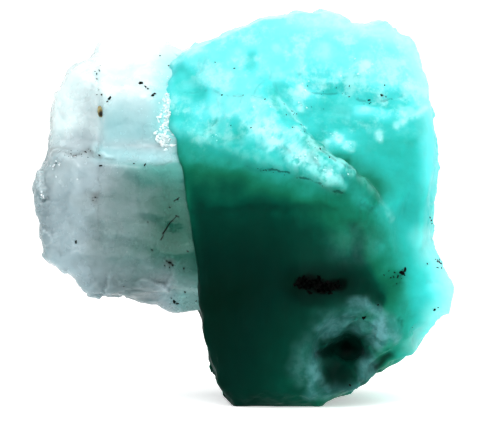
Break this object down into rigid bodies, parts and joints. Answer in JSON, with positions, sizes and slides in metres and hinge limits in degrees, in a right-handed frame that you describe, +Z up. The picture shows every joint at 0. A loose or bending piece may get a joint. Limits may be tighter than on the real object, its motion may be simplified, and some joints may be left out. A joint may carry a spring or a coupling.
{
  "type": "emerald in matrix",
  "caption": "Rough mineral specimen: a broken, stubby emerald prism held along one side in a lump of milky quartz matrix, standing on the flat break at the emerald's foot.",
  "frame": {"origin": "on the surface that the specimen stands on, under the middle of its bounding box", "axes": "+X to the viewer's right, from the quartz to the emerald; +Y away from the viewer, so the front with the prism face and the slanting step looks towards -Y; +Z up"},
  "size_m": [0.0426, 0.027, 0.0396],
  "materials": {
    "emerald": "vitreous, broken and sugary on top, smooth on the prism face, cloudy",
    "milky_quartz": "vitreous, cloudy, with glassy chips"
  },
  "bodies": {
    "root": {"emerald_crystal": "emerald", "quartz_matrix": "milky_quartz"}
  },
  "joints": []
}
